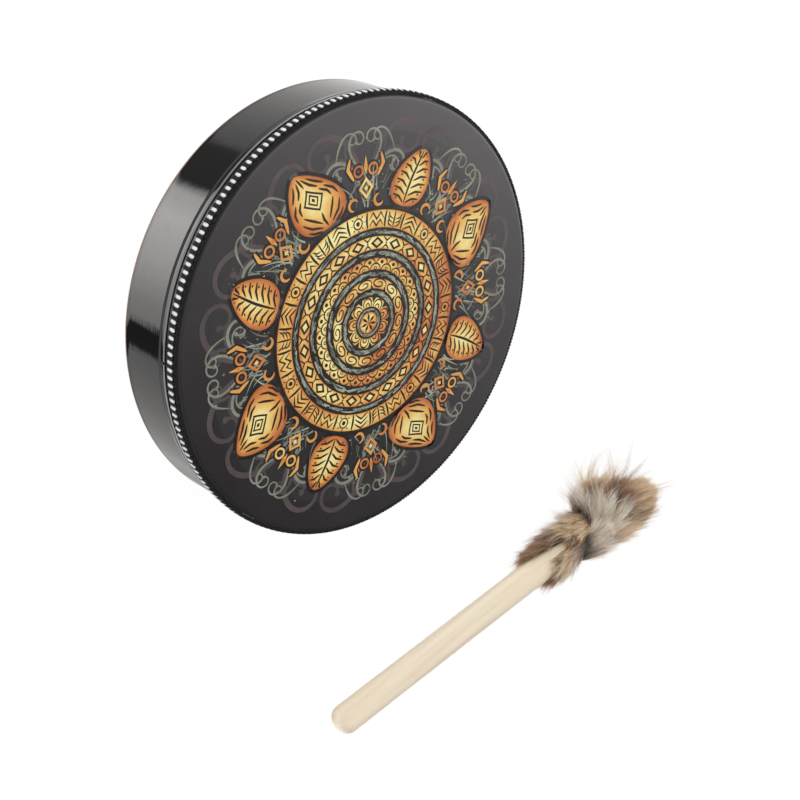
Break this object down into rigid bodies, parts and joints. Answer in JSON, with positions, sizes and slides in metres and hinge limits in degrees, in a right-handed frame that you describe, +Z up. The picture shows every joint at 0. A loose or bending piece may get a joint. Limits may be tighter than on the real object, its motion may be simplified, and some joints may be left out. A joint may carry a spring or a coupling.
{
  "type": "shaman drum",
  "caption": "Round single-headed frame drum with a glossy black shell, braided trim, a printed head and a hand hold behind, with its fur-headed wooden beater lying beside it.",
  "frame": {"origin": "bottom centre of the outer box round the drum and its beater, on the surface that both lie on", "axes": "+Z up out of the drum's head, +Y from the drum towards the beater, -X along the beater from its butt to its fur head"},
  "size_m": [0.3864, 0.462, 0.0508],
  "materials": {
    "shell_wood": "bare birch plywood, sanded",
    "shell_laminate": "glossy black laminate",
    "head_membrane": "satin printed synthetic membrane",
    "trim_braid": "woven black braid",
    "trim_silver": "silver and black wrapped cord",
    "black_steel": "blackened steel",
    "bright_steel": "nickel-plated steel",
    "thong_leather": "dark waxed leather thong",
    "stick_wood": "bare pale beech, sanded",
    "pad_felt": "pressed wool felt",
    "fur": "grey and tan fur on its hide",
    "tie_thread": "waxed black thread"
  },
  "bodies": {
    "drum": {"shell_hoop": "shell_wood", "shell_film": "shell_laminate", "drumhead": "head_membrane", "trim_ribbon": "trim_braid", "trim_cord": "trim_silver", "film_pin": "black_steel", "hand_ring": "bright_steel", "tack_01": "black_steel", "tack_02": "black_steel", "tack_03": "black_steel", "tack_04": "black_steel", "tack_05": "black_steel", "tack_06": "black_steel", "tack_07": "black_steel", "tack_08": "black_steel", "tack_09": "black_steel", "tack_10": "black_steel", "tack_11": "black_steel", "tack_12": "black_steel", "tack_13": "black_steel", "tack_14": "black_steel", "tack_15": "black_steel", "tack_16": "black_steel", "tack_17": "black_steel", "tack_18": "black_steel", "tack_19": "black_steel", "tack_20": "black_steel", "tack_21": "black_steel", "tack_22": "black_steel", "tack_23": "black_steel", "tack_24": "black_steel", "screw_eye_1": "bright_steel", "screw_eye_2": "bright_steel", "screw_eye_3": "bright_steel", "screw_eye_4": "bright_steel", "thong_1": "thong_leather", "thong_2": "thong_leather", "thong_3": "thong_leather", "thong_4": "thong_leather", "thong_ferrule_1": "bright_steel", "thong_ferrule_2": "bright_steel", "thong_ferrule_3": "bright_steel", "thong_ferrule_4": "bright_steel"},
    "beater": {"beater_stick": "stick_wood", "pad_core": "pad_felt", "fur_wrap": "fur", "tie_cord": "tie_thread"}
  },
  "joints": [
    {"name": "beater_lift", "type": "slide", "parent": "drum", "child": "beater", "axis": [0, 0, 1], "range_m": [0, 0.15]}
  ]
}
